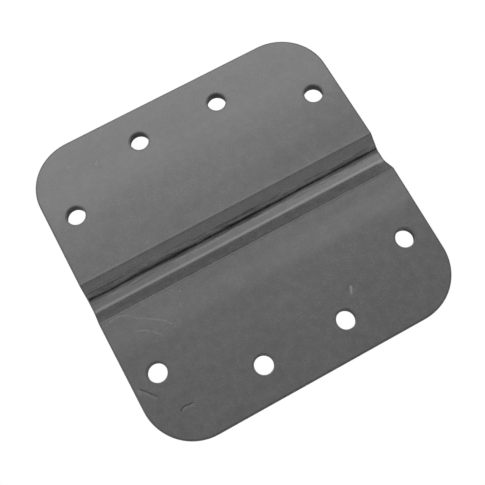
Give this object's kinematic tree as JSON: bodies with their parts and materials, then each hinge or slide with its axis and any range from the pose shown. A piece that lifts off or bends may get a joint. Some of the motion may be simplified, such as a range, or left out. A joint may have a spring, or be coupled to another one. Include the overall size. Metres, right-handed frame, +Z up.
{
  "type": "roof anchor",
  "caption": "Pressed steel plate with two flat leaves, a trapezoid channel across the middle and round screw holes near the outer edges, for anchoring to a roof.",
  "frame": {"origin": "under the plate's centre, on the underside of the channel's floor, which is the lowest face", "axes": "+X along the channel, +Y across it towards the rear leaf, +Z up out of the channel's open side"},
  "size_m": [0.1524, 0.1548, 0.0105],
  "materials": {
    "satin_coat": "smooth satin charcoal-grey coat on pressed steel, with fine hand scratches"
  },
  "bodies": {
    "root": {"rear_leaf": "satin_coat", "rear_flank": "satin_coat", "channel_floor": "satin_coat", "front_flank": "satin_coat", "front_leaf": "satin_coat"}
  },
  "joints": []
}
